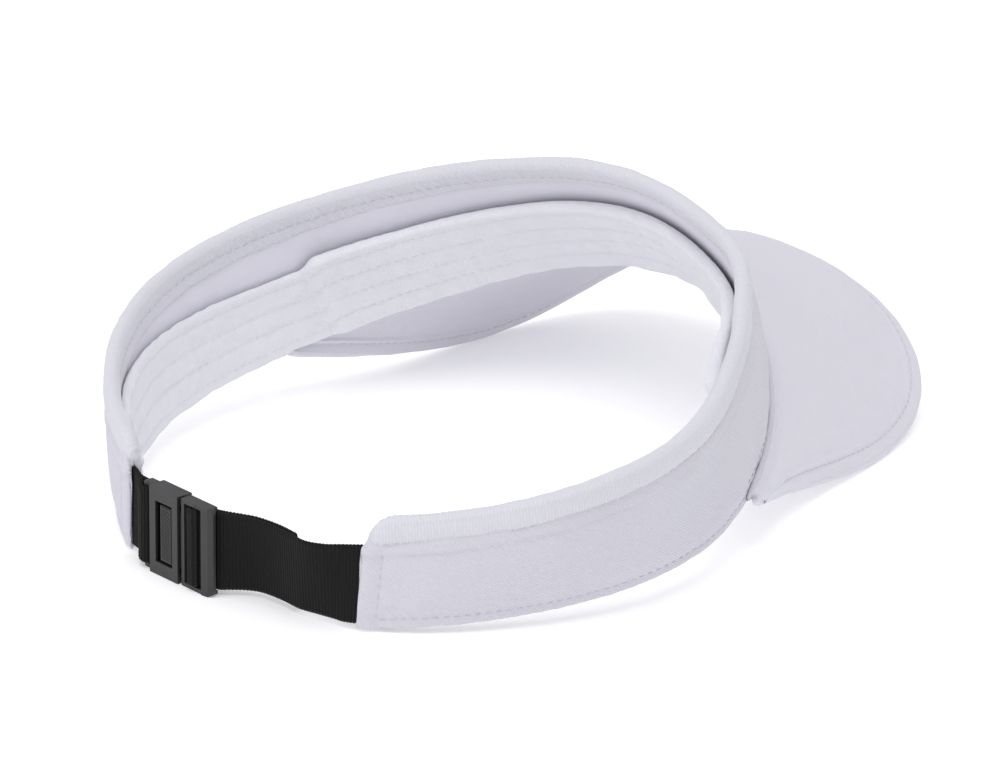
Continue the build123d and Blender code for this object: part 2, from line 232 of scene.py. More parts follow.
def band_at(s, height, depth):
    """Points of the band: height is up the band from its bottom edge, depth inwards."""
    s, height, depth = np.broadcast_arrays(s, height, depth)
    bottom, rise, out = tables(ALONG, s.ravel(), BOTTOM, RISE, OUT)
    points = bottom + unit(rise) * height.reshape(-1, 1) - unit(out) * depth.reshape(-1, 1)
    return points.reshape(s.shape + (3,))


def rounded_top(s):
    """The top edge's height, falling away in a round corner at each rear end."""
    inside = np.clip(S_END - np.abs(s), 0, CORNER_RADIUS)
    drop = CORNER_RADIUS - np.sqrt(CORNER_RADIUS**2 - (CORNER_RADIUS - inside) ** 2)
    return band_height(s) - drop


def band_rows(start, end, step):
    """Places along the band, closer together at the two ends."""
    edge = np.array([0, 0.15, 0.4, 0.8, 1.4])
    middle = np.linspace(start + 2.2, end - 2.2, int((end - start) / step))
    return np.concatenate([start + edge, middle, end - edge[::-1]])


def round_ends(depth, middle, s, start, end, radius):
    """A strip's depths drawn in towards the middle one, so that its two ends are round."""
    inside = np.clip(np.minimum(s - start, end - s) / radius, 0, 1)
    return middle + (depth - middle) * np.maximum(np.sqrt(1 - (1 - inside) ** 2), 0.22)


def under_binding(s):
    """How high the outer panel and the lining reach, inside the binding."""
    return np.minimum(band_height(s) - PANEL_TUCK, rounded_top(s) - CORNER_TUCK)


# ---------------------------------------------------------------- meshes
def link(piece):
    bpy.context.scene.collection.objects.link(piece)
    return piece


def make_mesh(name, points, faces, weave=None, fields=None):
    """A piece from points in millimetres. weave is each face corner's place on the cloth."""
    mesh = bpy.data.meshes.new(name)
    mesh.from_pydata((np.asarray(points) * MM).tolist(), [], faces)
    if weave is not None:
        mesh.uv_layers.new(name="weave").data.foreach_set("uv", np.asarray(weave, float).ravel())
    for key, values in (fields or {}).items():
        attribute = mesh.attributes.new(key, "FLOAT", "POINT")
        attribute.data.foreach_set("value", np.asarray(values, np.float32).ravel())
    mesh.shade_smooth()
    return link(bpy.data.objects.new(name, mesh))


def face_outwards(piece):
    form = bmesh.new()
    form.from_mesh(piece.data)
    bmesh.ops.recalc_face_normals(form, faces=form.faces)
    form.to_mesh(piece.data)
    form.free()
    return piece


def tube_grid(name, points, u, v, fields=None):
    """A closed piece from rings of points, with a face at each end. u and v are each point's place
    on the cloth."""
    rows, columns = points.shape[:2]
    index = np.arange(rows * columns).reshape(rows, columns)
    around = np.roll(index, -1, axis=1)
    faces = np.stack([index[:-1], around[:-1], around[1:], index[1:]], -1).reshape(-1, 4)
    place = np.stack([np.broadcast_to(values, (rows, columns)) for values in (u, v)], -1)
    step = np.concatenate([place[:, 1:], place[:, -1:] + (place[:, -1:] - place[:, -2:-1])], 1)
    weave = np.stack([place[:-1], step[:-1], step[1:], place[1:]], 2).reshape(-1, 2)
    ends = [index[0][::-1].tolist(), index[-1].tolist()]
    weave = np.vstack([weave, place[0][::-1], place[-1]])
    piece = make_mesh(name, points.reshape(-1, 3), faces.tolist() + ends, weave, fields)
    return face_outwards(piece)


def section(s, *parts):
    """A section at each of the places s, from parts that follow each other round it. Each part has
    its heights, its depths and how much of the surface's relief it takes."""
    grids = [np.broadcast_arrays(*(np.asarray(values) + 0 * s for values in part)) for part in parts]
    return [np.concatenate(values, 1) for values in zip(*grids)]


def band_piece(name, s, h, d, **fields):
    """A closed piece of the band, from a section in height and depth at each of the places s."""
    fields = {key: values + 0 * h for key, values in {"s": s, "h": h, **fields}.items()}
    s_grid = s + 0 * h
    return tube_grid(name, band_at(s_grid, h, d), s_grid, h, fields)


def points_of(mesh):
    flat = np.empty(len(mesh.vertices) * 3)
    mesh.vertices.foreach_get("co", flat)
    return flat.reshape(-1, 3) / MM


def normals_of(mesh):
    flat = np.empty(len(mesh.vertices) * 3)
    mesh.vertex_normals.foreach_get("vector", flat)
    return flat.reshape(-1, 3)


def fields_of(piece, *keys):
    """The named numbers that the piece's points carry."""
    found = []
    for key in keys:
        found.append(np.empty(len(piece.data.vertices)))
        piece.data.attributes[key].data.foreach_get("value", found[-1])
    return found


def set_points(mesh, points):
    mesh.vertices.foreach_set("co", (points * MM).ravel())
    mesh.update()


def push_out(piece, shift):
    """Moves each of the piece's points along its normal."""
    set_points(piece.data, points_of(piece.data) + normals_of(piece.data) * shift[:, None])


def settled_mesh(piece):
    """The piece's mesh with its modifiers applied."""
    bpy.context.view_layer.update()
    graph = bpy.context.evaluated_depsgraph_get()
    return bpy.data.meshes.new_from_object(piece.evaluated_get(graph))


def refine(piece):
    """Subdivides the piece smoothly, once, and applies it."""
    modifier = piece.modifiers.new("Subdivision", "SUBSURF")
    modifier.levels = modifier.render_levels = 1
    mesh = settled_mesh(piece)
    piece.modifiers.clear()
    piece.data = mesh
    mesh.shade_smooth()
    return piece


# The cloth is simulated at ten times its size, for a few frames, and then applied.
SIM_SCALE = 10.0
SIM_FRAMES = 16
CLOTH = {
    "quality": 6, "mass": 0.3, "tension_stiffness": 12, "compression_stiffness": 12,
    "shear_stiffness": 5, "bending_stiffness": 0.6, "air_damping": 2, "use_pressure": True,
}


def swell(piece, sewn, pressure, slack, cap):
    """Lets the cloth swell and wrinkle between its sewn lines. sewn is each point's hold from 0
    to 1, slack is the spare cloth, and no point moves further than cap."""
    rest = points_of(piece.data)
    cloth_piece = link(bpy.data.objects.new(piece.name + "_cloth", piece.data.copy()))
    set_points(cloth_piece.data, rest * SIM_SCALE)
    group = cloth_piece.vertex_groups.new(name="sewn")
    for index in np.flatnonzero(sewn > 0.01):
        group.add([int(index)], float(sewn[index]), "REPLACE")
    cloth = cloth_piece.modifiers.new("Cloth", "CLOTH")
    settings = cloth.settings
    for key, value in CLOTH.items():
        setattr(settings, key, value)
    settings.vertex_group_mass = "sewn"
    settings.uniform_pressure_force = pressure
    settings.shrink_min = -slack
    settings.effector_weights.gravity = 0
    cloth.point_cache.frame_start = 1
    cloth.point_cache.frame_end = SIM_FRAMES
    scene = bpy.context.scene
    for number in range(1, SIM_FRAMES + 1):
        scene.frame_set(number)
    moved = points_of(settled_mesh(cloth_piece)) / SIM_SCALE - rest
    bpy.data.objects.remove(cloth_piece)
    scene.frame_set(1)
    far = np.linalg.norm(moved, axis=1, keepdims=True)
    far_limited = cap * np.tanh(far / cap)
    set_points(piece.data, rest + moved * far_limited / np.maximum(far, 1e-9))
    print(f"{piece.name}: cloth moved up to {far.max():.2f} mm, kept {far_limited.max():.2f} mm")


def seam_dip(distance, along, deep, half=0.9, pitch=STITCH_PITCH):
    """How far a row of stitches draws the cloth in, deepest at each needle hole."""
    groove = bell(distance, half)
    holes = 0.5 + 0.5 * np.cos(2 * pi * along / pitch)
    wide = bell(distance, 3.2 * half)
    return deep * (0.45 * groove + 0.55 * groove * holes + 0.35 * wide)


def gathers(seed, along, distance, reach, wave=5.5):
    """Little wrinkles that run away from a seam."""
    return noise(seed, along / wave, distance / 30) * np.exp(-np.abs(distance) / reach)


# ---------------------------------------------------------------- stitches
def stitch_row(name, line, normal, pitch=STITCH_PITCH, cover=0.72, radius=0.13, lift=0.07):
    """Short threads along a line of points, each a bent tube whose two ends dive into the cloth."""
    length = distances(line)
    count = int(length[-1] / pitch)
    rings, sides = 7, 6
    share = np.linspace(0, 1, rings)
    starts = (np.arange(count) + 0.5 * (1 - cover)) * pitch
    at = starts[:, None] + share * pitch * cover
    centre = table(length, line, at.ravel()).reshape(count, rings, 3)
    up = unit(table(length, normal, at.ravel())).reshape(count, rings, 3)
    arch = np.sin(pi * share) ** 0.5
    centre = centre + up * (lift * (2.2 * arch - 1.2))[None, :, None]
    ahead = unit(np.gradient(centre, axis=1))
    side = unit(np.cross(ahead, up))
    lifted = np.cross(side, ahead)
    ring = 2 * pi * np.arange(sides) / sides
    width = radius * (0.55 + 0.45 * np.sin(pi * share) ** 0.4)
    spread = width[None, :, None, None]
    points = centre[:, :, None] + spread * (
        side[:, :, None] * np.cos(ring)[:, None] + lifted[:, :, None] * np.sin(ring)[:, None]
    )
    faces = []
    for k in range(count):
        first = k * rings * sides
        for r in range(rings - 1):
            for c in range(sides):
                a, b = first + r * sides + c, first + r * sides + (c + 1) % sides
                faces.append((a, b, b + sides, a + sides))
        faces.append(tuple(first + c for c in reversed(range(sides))))
        faces.append(tuple(first + (rings - 1) * sides + c for c in range(sides)))
    return face_outwards(make_mesh(name, points.reshape(-1, 3), faces))


def on_surface(piece, line, outward, reach=4.0):
    """The line moved along its outward directions onto a piece, and the piece's normals there."""
    bpy.context.view_layer.update()
    tree = BVHTree.FromObject(piece, bpy.context.evaluated_depsgraph_get())
    found, normals = [], []
    for point, way in zip(line * MM, outward):
        way = Vector(way)
        hit, normal, _, _ = tree.ray_cast(Vector(point) + way * reach * MM, -way, 2 * reach * MM)
        found.append(hit if hit else point)
        normals.append(normal if hit else way)
    return np.array(found) / MM, unit(np.array(normals))


def joined(name, parts):
    """One piece made of several, which are removed."""
    form = bmesh.new()
    for part in parts:
        form.from_mesh(part.data)
    mesh = bpy.data.meshes.new(name)
    form.to_mesh(mesh)
    form.free()
    mesh.shade_smooth()
    for part in parts:
        bpy.data.objects.remove(part)
    return link(bpy.data.objects.new(name, mesh))


# ---------------------------------------------------------------- materials
class Shader:
    """A node tree written as nested calls: every method returns an output socket."""

    def __init__(self, name):
        self.material = bpy.data.materials.new(name)
        self.material.use_nodes = True
        self.tree = self.material.node_tree
        self.surface = self.tree.nodes["Principled BSDF"]

    def node(self, kind, inputs=(), output=0, **settings):
        made = self.tree.nodes.new(kind)
        for key, value in settings.items():
            setattr(made, key, value)
        for key, value in dict(inputs).items():
            self.feed(made.inputs[key], value)
        return made.outputs[output]

    def feed(self, socket, value):
        if isinstance(value, bpy.types.NodeSocket):
            self.tree.links.new(value, socket)
        else:
            socket.default_value = value

    def math(self, operation, a, b=0.0, c=0.0):
        return self.node("ShaderNodeMath", {0: a, 1: b, 2: c}, operation=operation)

    def scaled(self, value, factor, plus):
        return self.math("MULTIPLY_ADD", value, factor, plus)

    def cloth(self):
        """The place on the cloth, in millimetres: u along it and v across it."""
        place = self.node("ShaderNodeUVMap", uv_map="weave")
        split = self.tree.nodes.new("ShaderNodeSeparateXYZ")
        self.feed(split.inputs[0], place)
        return split.outputs[0], split.outputs[1]

    def body(self):
        return self.node("ShaderNodeTexCoord", output="Object")

    def wave(self, u, v, along, across):
        """A sine from 0 to 1 whose phase turns along times per mm of u and across per mm of v."""
        phase = self.scaled(u, 2 * pi * along, self.math("MULTIPLY", v, 2 * pi * across))
        return self.scaled(self.math("SINE", phase), 0.5, 0.5)

    def speckle(self, scale, detail=2.0, rough=0.5):
        inputs = {"Vector": self.body(), "Scale": scale, "Detail": detail, "Roughness": rough}
        return self.node("ShaderNodeTexNoise", inputs)

    def colours(self, share, dark, light):
        """A colour between two, by a share."""
        made = self.tree.nodes.new("ShaderNodeMix")
        made.data_type = "RGBA"
        self.feed(made.inputs[0], share)
        for socket, value in ((made.inputs[6], dark), (made.inputs[7], light)):
            self.feed(socket, (*value, 1) if isinstance(value, tuple) else value)
        return made.outputs[2]

    def bump(self, height, distance, strength=1.0, under=None):
        inputs = {"Strength": strength, "Distance": distance * MM, "Height": height}
        if under is not None:
            inputs["Normal"] = under
        return self.node("ShaderNodeBump", inputs)

    def feed_surface(self, values):
        for key, value in values.items():
            self.feed(self.surface.inputs[key], value)
        return self.material

    def finish(self, colour, normal, roughness, sheen=0.0, specular=0.3):
        return self.feed_surface({
            "Base Color": colour, "Normal": normal, "Roughness": roughness,
            "Specular IOR Level": specular, "Sheen Weight": sheen, "Sheen Roughness": 0.45,
            "Sheen Tint": (1, 1, 1, 1),
        })


def woven_white(name, light, dark, main, cross, deep, sheen=0.12, fluff=0.35):
    """White cloth. main and cross are the two thread waves, as turns per mm along and across."""
    shader = Shader(name)
    u, v = shader.cloth()
    ridge = shader.wave(u, v, *main)
    thread = shader.wave(u, v, *cross)
    weave = shader.math("MULTIPLY", ridge, shader.scaled(thread, 0.45, 0.55))
    fibre = shader.speckle(2600, 3.0, 0.6)
    relief = shader.scaled(fibre, fluff, weave)
    patch = shader.speckle(28, 2.0)
    # Painted shade: the cloth is coloured darker in the grooves of its weave and lighter on its ridges,
    # over a random patchy tone of its own.
    share = shader.scaled(patch, 0.35, shader.scaled(weave, 0.5, 0.15))
    colour = shader.colours(share, dark, light)
    rough = shader.scaled(fibre, 0.12, 0.8)
    return shader.finish(colour, shader.bump(relief, deep), rough, sheen)


def webbing_black():
    shader = Shader("webbing_black")
    u, v = shader.cloth()
    rib = shader.wave(u, v, 1 / WEB_RIB, 0)
    ends = shader.wave(u, v, 0.5 / WEB_RIB, 1 / 0.62)
    weave = shader.math("MULTIPLY", ends, shader.scaled(rib, 0.7, 0.3))
    fibre = shader.speckle(3000, 3.0, 0.6)
    relief = shader.scaled(fibre, 0.4, weave)
    # Painted shade: the webbing is coloured darker in the grooves between its ribs and threads, over a
    # random speckled tone of its own.
    share = shader.scaled(weave, 0.7, shader.math("MULTIPLY", shader.speckle(60), 0.3))
    colour = shader.colours(share, (0.0015, 0.0015, 0.0015), (0.0105, 0.0105, 0.0105))
    rough = shader.scaled(fibre, 0.2, 0.55)
    return shader.finish(colour, shader.bump(relief, 0.12), rough, 0.02, specular=0.2)


def moulded_black():
    shader = Shader("moulded_black")
    grain = shader.speckle(4200, 2.0)
    mould = shader.speckle(240, 3.0)
    wear = shader.scaled(shader.speckle(900, 2.0), 0.5, shader.math("MULTIPLY", mould, 0.5))
    colour = shader.colours(wear, (0.014, 0.014, 0.014), (0.034, 0.034, 0.033))
    rough = shader.scaled(mould, 0.22, 0.36)
    low = shader.bump(mould, 0.05, 0.5)
    return shader.finish(colour, shader.bump(grain, 0.03, 0.7, low), rough, specular=0.5)


def thread(name, light, dark):
    shader = Shader(name)
    twist = shader.speckle(5200, 1.0)
    colour = shader.colours(twist, dark, light)
    return shader.finish(colour, shader.bump(twist, 0.06), 0.5, 0.1, specular=0.4)


def inner_plain(name, light, dark, grain):
    """For the layers that other pieces cover."""
    shader = Shader(name)
    speckle = shader.speckle(grain, 4.0)
    return shader.finish(shader.colours(speckle, dark, light), shader.bump(speckle, 0.2), 0.85, 0.05)


WEB_RIB = 1.05
TWILL_RIDGES = (0.95, 0.95)
TWILL_THREADS = (-1.3, 1.6)
# Each white cloth's darker colour is the painted shade of its weave's grooves, and also the low end of
# its random tone.
TWILL = woven_white(
    "twill_white", (0.685, 0.675, 0.735), (0.565, 0.555, 0.62), TWILL_RIDGES, TWILL_THREADS, 0.11
)
# Painted light: the brim's twill is the band's twill coloured lighter, standing in for light on the
# brim.
BRIM_TWILL_PAINTED_LIGHTER = woven_white(
    "brim_twill_white_painted_lighter", (0.75, 0.74, 0.80), (0.65, 0.64, 0.705), TWILL_RIDGES, TWILL_THREADS, 0.09
)
BIAS = woven_white(
    "bias_tape_white", (0.745, 0.738, 0.79), (0.625, 0.618, 0.68), (1.1, 0.16), (0.3, 2.4), 0.14
)
SMOOTH = woven_white("lining_white", (0.77, 0.76, 0.825), (0.71, 0.70, 0.77), (2.2, 0), (0, 2.2), 0.05)
KNIT = woven_white(
    "sweatband_knit_white", (0.83, 0.826, 0.87), (0.75, 0.746, 0.80), (1.5, 0.0), (0.75, 1.9), 0.09,
    sheen=0.3, fluff=0.8,
)
WEBBING = webbing_black()
PLASTIC = moulded_black()
WHITE_THREAD = thread("thread_white", (0.66, 0.65, 0.71), (0.52, 0.51, 0.57))
PAD_THREAD = thread("thread_pad", (0.80, 0.795, 0.84), (0.70, 0.695, 0.75))
# Painted shade: a dark grey thread for the row over the brim, standing in for the shade in its needle
# holes.
PAINTED_HOLE_SHADE_THREAD = thread("thread_painted_hole_shade", (0.42, 0.41, 0.46), (0.30, 0.29, 0.33))
PADDING = inner_plain("padding", (0.70, 0.69, 0.75), (0.60, 0.59, 0.65), 900)
STIFF = inner_plain("stiffener_plastic", (0.72, 0.71, 0.77), (0.64, 0.63, 0.69), 200)


def dress(piece, material, body, slot, *nodes):
    """Gives a finished piece its material and its body, and hides the CAD nodes it stands for. slot is
    not used.
    """
    if not piece.data.materials:
        piece.data.materials.append(material)
    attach(piece, body)
    if nodes:
        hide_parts(*nodes)
    return piece


# ---------------------------------------------------------------- band
def outer_relief(s, h):
    """The outer panel's shape beyond its plain surface, outwards."""
    height = band_height(s)
    crown = 0.45 * np.sin(pi * np.clip(h / height, 0, 1))
    from_binding = height - BINDING_LEG - h
    fade = 0.35 + 0.65 * smoothstep(40, 150, np.abs(s))
    ridge = 0.55 * fade * smoothstep(-0.6, 0.5, from_binding) * (1 - smoothstep(2.7, 3.3, from_binding))
    from_end = S_END - np.abs(s)
    soft = 0.30 * noise(11, s / 26 + 7, h / 20) + 0.16 * noise(12, s / 11, h / 13)
    pulls = 0.30 * noise(13, s / 9 + 3, h / 60) * np.exp(-from_end / 24)
    hem = 0.22 * gathers(14, s, h - HEM_ROW, 5) + 0.2 * gathers(15, s, from_binding, 7)
    dips = seam_dip(h - HEM_ROW, s, 0.34)
    dips = dips + seam_dip(from_end - END_ROW, h, 0.35) * smoothstep(0, 3, from_binding)
    fold = 0.35 * bell(from_end - 3.0, 2.2)
    over_brim = np.abs(s) < s_at(BRIM_END_ANGLE)
    dips = dips + seam_dip(h - BRIM_JOIN_ROW, s, 0.34, 0.6) * over_brim
    return crown + ridge + soft + pulls + hem + fold - dips


def outer_panel():
    s = band_rows(-S_END, S_END, step=1.7)[:, None]
    top = under_binding(s)
    fold = np.linspace(0.5 * pi, 1.5 * pi, 8)[1:-1]
    h, d, outer = section(
        s,
        (1.3 + (top - 1.3) * np.linspace(0, 1, 30), 0, 1),
        (top + 0.35, [0.25, 0.65], 0),
        (top - (top - 4.0) * np.linspace(0, 1, 7), 0.9, 0),
        (1.6, 2.1, 0),
        (1.15 + 1.15 * np.cos(fold), 1.1 + 1.1 * np.sin(fold), np.linspace(0, 0.8, 6)),
    )
    d = round_ends(d, 0.7, s, -S_END, S_END, radius=1.1)
    piece = band_piece("band_outer_cloth", s, h, d, face=outer)
    along, rows, face = fields_of(piece, "s", "h", "face")
    edge = np.minimum(np.abs(rows - HEM_ROW), np.abs(band_height(along) - BINDING_LEG - rows))
    sewn = np.maximum(np.clip(1.3 - edge / 2, 0.05, 1), 1 - face)
    sewn = np.maximum(sewn, np.clip(1.2 - (S_END - np.abs(along)) / 6, 0, 1))
    swell(piece, sewn, pressure=1.2, slack=0.012, cap=0.9)
    along, rows, face = fields_of(refine(piece), "s", "h", "face")
    push_out(piece, outer_relief(along, rows) * face)
    return dress(piece, TWILL, "visor", "twill", "band_outer_panel", "band_interfacing")


def inner_leg(s):
    """How far the binding reaches down the inside: less at the front."""
    return INNER_LEG - INNER_LEG_CUT * bell(s, 90)


def binding_shape(s):
    """The binding's section: a puffy roll over the top edge, with a sewn-down leg on each face."""
    foot = band_height(s) - BINDING_LEG - 0.3
    inner_foot = band_height(s) - inner_leg(s)
    top = rounded_top(s) + 0.2
    size = np.minimum((top - foot) / BINDING_LEG, 1)
    shoulder = top - 2.0 * size
    up = np.linspace(0, 1, 13)
    puff = np.sin(pi * np.clip(up / 1.15, 0, 1)) ** 0.7
    over = np.linspace(pi, 0, 11)[1:-1]
    inner_h = shoulder - (shoulder - inner_foot) * np.linspace(0, 1, 17)
    row = inner_h - (band_height(s) - INNER_ROW)
    below = 1 - smoothstep(-0.8, 0.3, row)
    inner_d = 3.75 + 0.55 * size * (1 - 0.55 * below) - 0.18 * bell(row, 0.9)
    inner_d = inner_d - 0.45 * (1 - smoothstep(0, 0.6, inner_h - inner_foot))
    lid_h = foot + (shoulder - foot) * 0.8
    hollow_h = np.concatenate([inner_foot + 0.1, lid_h, lid_h, foot + 0.2 * size], 1)
    return section(
        s,
        (foot + (shoulder - foot) * up, 0.1 - 0.95 * puff * size, 1),
        (shoulder + 2.0 * size * np.sin(over), 1.7 + 2.35 * np.cos(over) * size, 1),
        (inner_h, inner_d, 1),
        (hollow_h, [3.36, 3.3, 0.5, 0.3], 0),
    )


def top_binding():
    end = S_END - 0.5
    s = band_rows(-end, end, step=1.2)[:, None]
    h, d, face = binding_shape(s)
    d = round_ends(d, 1.7, s, -end, end, radius=1.6)
    s_grid = s + 0 * h
    points = band_at(s_grid, h, d)
    steps = np.linalg.norm(np.diff(points, axis=1), axis=2)
    girth = np.concatenate([np.zeros_like(s), np.cumsum(steps, 1)], 1)
    fields = {"s": s_grid, "h": h, "face": face, "girth": girth}
    piece = tube_grid("top_binding_tape", points, s_grid, girth, fields)
    along, rows, face, around = fields_of(refine(piece), "s", "h", "face", "girth")
    from_foot = rows - (band_height(along) - BINDING_LEG)
    from_row = rows - (band_height(along) - INNER_ROW)
    inside = smoothstep(11, 13, around)
    ribs = 0.05 * np.cos(2 * pi * (along * 1.1 + around * 0.16)) * (1 - 0.8 * inside)
    lumps = 0.16 * noise(21, along / 4.2, around / 9) + 0.16 * noise(22, along / 17, around / 14)
    from_end = S_END - np.abs(along)
    crush = 0.30 * noise(25, along / 6.5, around / 40) * np.exp(-from_end / 45)
    ribs = ribs * (1 + 1.6 * np.exp(-from_end / 16))
    knot = 1.1 * bell(from_end - 15, 4.5) * inside * (along > 0)
    dips = seam_dip(from_foot - 0.5, along, 0.2, 0.7) * (1 - inside)
    dips = dips + seam_dip(from_row, along, 0.14, 0.6) * inside
    push_out(piece, (ribs + lumps + crush + knot - dips) * face)
    return dress(piece, BIAS, "visor", "binding", "top_edge_binding")


def inner_lining():
    end = S_END - 0.3
    s = band_rows(-end, end, step=2.4)[:, None]
    rise = 2.2 + (under_binding(s) - 2.2) * np.linspace(0, 1, 18)
    h, d, inside = section(s, (rise, LINING_INNER, 1), (rise[:, ::-1], LINING_OUTER, 0))
    d = round_ends(d, LINING_MIDDLE, s, -end, end, radius=0.8)
    piece = band_piece("inner_lining_cloth", s, h, d, face=inside)
    along, rows, face = fields_of(refine(piece), "s", "h", "face")
    below = band_height(along) - inner_leg(along) - rows
    relief = 0.18 * noise(31, along / 30, rows / 16) + 0.14 * gathers(32, along, below, 6)
    push_out(piece, relief * face)
    return dress(piece, SMOOTH, "visor", "lining", "band_lining")


# ---------------------------------------------------------------- sweatband
PAD_FOOT = 0.5
PAD_SWELL = 0.6
ROWS_BELOW_TOP = (3.4, 10.2, 17.0, 23.8)
PAD_BOTTOM = 31.0
SEWN_HALF_WIDTH = 1.6
CHANNEL_PUFF = 0.32
PAD_END_FLOW = 6.5


def pad_piece(name, start, end, top, face_depth, back, lean, seed, wrinkle, nodes):
    """A sweatband section: flat channels of padding between rows of stitches, rolled at the top.
    top, face_depth and lean are its top edge, inner face and stand-off at the places s."""
    s = band_rows(start, end, step=1.8)[:, None]
    top_h, face = top(s), face_depth(s)
    half = (face - back) / 2
    low_h = PAD_FOOT + half * 0.6
    high_h = top_h - half * 0.8
    over = np.linspace(0.5 * pi, -0.5 * pi, 9)[1:-1]
    under = np.linspace(-0.5 * pi, 0.5 * pi, 6)[1:-1]
    h, d, front = section(
        s,
        (low_h + (high_h - low_h) * np.linspace(0, 1, 31), face, 1),
        (high_h + half * 0.8 * np.cos(over), back + half + half * np.sin(over), np.linspace(1, 0.2, 7)),
        (high_h - (high_h - low_h) * np.linspace(0, 1, 6), back, 0),
        (low_h - half * 0.6 * np.cos(under), back + half + half * np.sin(under), np.linspace(0.2, 1, 4)),
    )
    d = round_ends(d, back + half * 0.6, s, start, end, radius=2.4)
    d = d + lean(s) * smoothstep(0.3, 1.0, h / np.maximum(top_h, 1))
    piece = band_piece(name, s, h, d, face=front, below=top_h - h)
    below, face_at = fields_of(piece, "below", "face")
    nearest = np.min([np.abs(below - row) for row in ROWS_BELOW_TOP], axis=0)
    sewn = np.maximum(np.clip(1 - nearest / SEWN_HALF_WIDTH, 0, 1), 1 - face_at)
    swell(piece, sewn, pressure=2.0, slack=0.03, cap=PAD_SWELL)
    along, below, face_at = fields_of(refine(piece), "s", "below", "face")
    edges = np.array([0.2, *ROWS_BELOW_TOP, PAD_BOTTOM])
    channel = np.clip(np.searchsorted(edges, below) - 1, 0, len(edges) - 2)
    across = np.clip((below - edges[channel]) / (edges[channel + 1] - edges[channel]), 0, 1)
    puff = CHANNEL_PUFF * np.sin(pi * across) ** 0.7
    gap = np.min([np.abs(below - row) for row in ROWS_BELOW_TOP], axis=0)
    puckers = 0.16 * noise(seed, along / 4.5, below / 6) * np.exp(-gap / 3.0)
    soft = 0.40 * noise(seed + 1, along / 26, below / 14) + 0.22 * noise(seed + 2, along / 10, below / 9)
    creases = wrinkle * noise(seed + 3, along / 5.5 + below / 30, below / 22)
    lip = 0.35 * bell(below - 0.9, 1.2)
    dips = sum(seam_dip(below - row, along + 1.1 * k, 0.20, 0.6) for k, row in enumerate(ROWS_BELOW_TOP))
    push_out(piece, (puff + puckers + soft + creases + lip - dips) * face_at)
    rows = []
    for row in ROWS_BELOW_TOP:
        at = np.arange(start + 3, end - 3, 0.6)
        place = band_at(at, top(at) - row, face_depth(at) + lean(at) * 0.5)
        line, normal = on_surface(piece, place, -table(ALONG, OUT, at), reach=7.0)
        rows.append(stitch_row("pad_row", line, normal, cover=0.55, radius=0.10, lift=0.05))
    dress(piece, KNIT, "visor", "sweatband", *nodes)
    return rows


def sweatband():
    """A padded front section between two thinner rear ones, which start behind its two ends."""
    reach = s_at(REAR_PAD_START)
    overlap = reach - REAR_PAD_TUCK
    rear_face = REAR_PAD_FACE - 0.5

    def end_flow(s):
        return smoothstep(0, PAD_END_FLOW, reach - np.abs(s))

    def front_top(s):
        return REAR_PAD_TOP + 0.2 + (FRONT_PAD_TOP - REAR_PAD_TOP + 0.2) * end_flow(s)

    def front_face(s):
        swollen = 0.6 * bell(reach - np.abs(s) - PAD_END_FLOW, 3.5)
        return rear_face - 0.3 + (FRONT_PAD_FACE - 0.4 - rear_face + 0.3) * end_flow(s) + swollen

    def stand_off(s):
        begin, full, fall, end = STAND_OFF_ANGLES
        angle = angle_at(s)
        return PAD_STAND_OFF * smoothstep(begin, full, angle) * (1 - smoothstep(fall, end, angle))

    def rear_top(s):
        return np.minimum(REAR_PAD_TOP, band_height(s) - BINDING_LEG - 1.2)

    rows = pad_piece(
        "sweatband_front_pad", -reach, reach, front_top, front_face, FRONT_PAD_BACK,
        lambda s: 0.9 + stand_off(s), 41, 0.12, ("sweatband_front_cover", "sweatband_front_foam"),
    )
    for side, word in ((1, "left"), (-1, "right")):
        start, end = sorted((side * overlap, side * s_at(REAR_PAD_END)))
        rows += pad_piece(
            f"sweatband_{word}_pad", start, end, rear_top, lambda s: rear_face + 0 * s, REAR_PAD_BACK,
            lambda s: 0.6 + stand_off(s), 50 + side, 0.34, (f"sweatband_{word}_rear",),
        )
    dress(joined("sweatband_stitches", rows), PAD_THREAD, "visor", "sweatband")


# ---------------------------------------------------------------- brim
BRIM_KEYS = np.linspace(-BRIM_END_ANGLE, BRIM_END_ANGLE, 1201)


def brim_tables():
    a = np.radians(BRIM_KEYS)
    share = (BRIM_KEYS / BRIM_END_ANGLE) ** 2
    bottom, rise, out = tables(ANGLES, a, LEVEL_BOTTOM, LEVEL_RISE, LEVEL_OUT)
    seam = bottom + unit(rise) * BRIM_SEAM_HEIGHT
    seam = seam + unit(out) * (BRIM_SEAM_GAP + BRIM_CORNER_GAP * share)[:, None]
    polar = np.radians(BRIM_TURN * BRIM_KEYS / BRIM_END_ANGLE)
    across = np.abs(np.sin(polar)) / BRIM_HALF_WIDTH
    forward = np.abs(np.cos(polar)) / BRIM_REACH
    radius = (across**BRIM_POWER + forward**BRIM_POWER) ** (-1 / BRIM_POWER)
    x = radius * np.sin(polar)
    y = BRIM_CENTRE - radius * np.cos(polar)
    droop = BRIM_ARCH_RADIUS - np.sqrt(BRIM_ARCH_RADIUS**2 - x**2)
    flare = BRIM_FLARE * (BRIM_KEYS / BRIM_END_ANGLE) ** 4
    edge = np.stack([x + np.sign(BRIM_KEYS) * flare, y, BRIM_CREST + BRIM_FALL * y - droop], -1)
    chord = edge - seam
    normal = unit(np.cross(chord, np.gradient(seam + edge, axis=0)))
    normal *= np.sign(normal[len(normal) // 2, 2])
    length = np.linalg.norm(chord, axis=1)
    return seam, unit(chord), length, normal, distances(edge)


BRIM_SEAM, BRIM_FORWARD, BRIM_LENGTH, BRIM_NORMAL, BRIM_WALK = brim_tables()


def brim_length(angle):
    return np.interp(angle, BRIM_KEYS, BRIM_LENGTH)


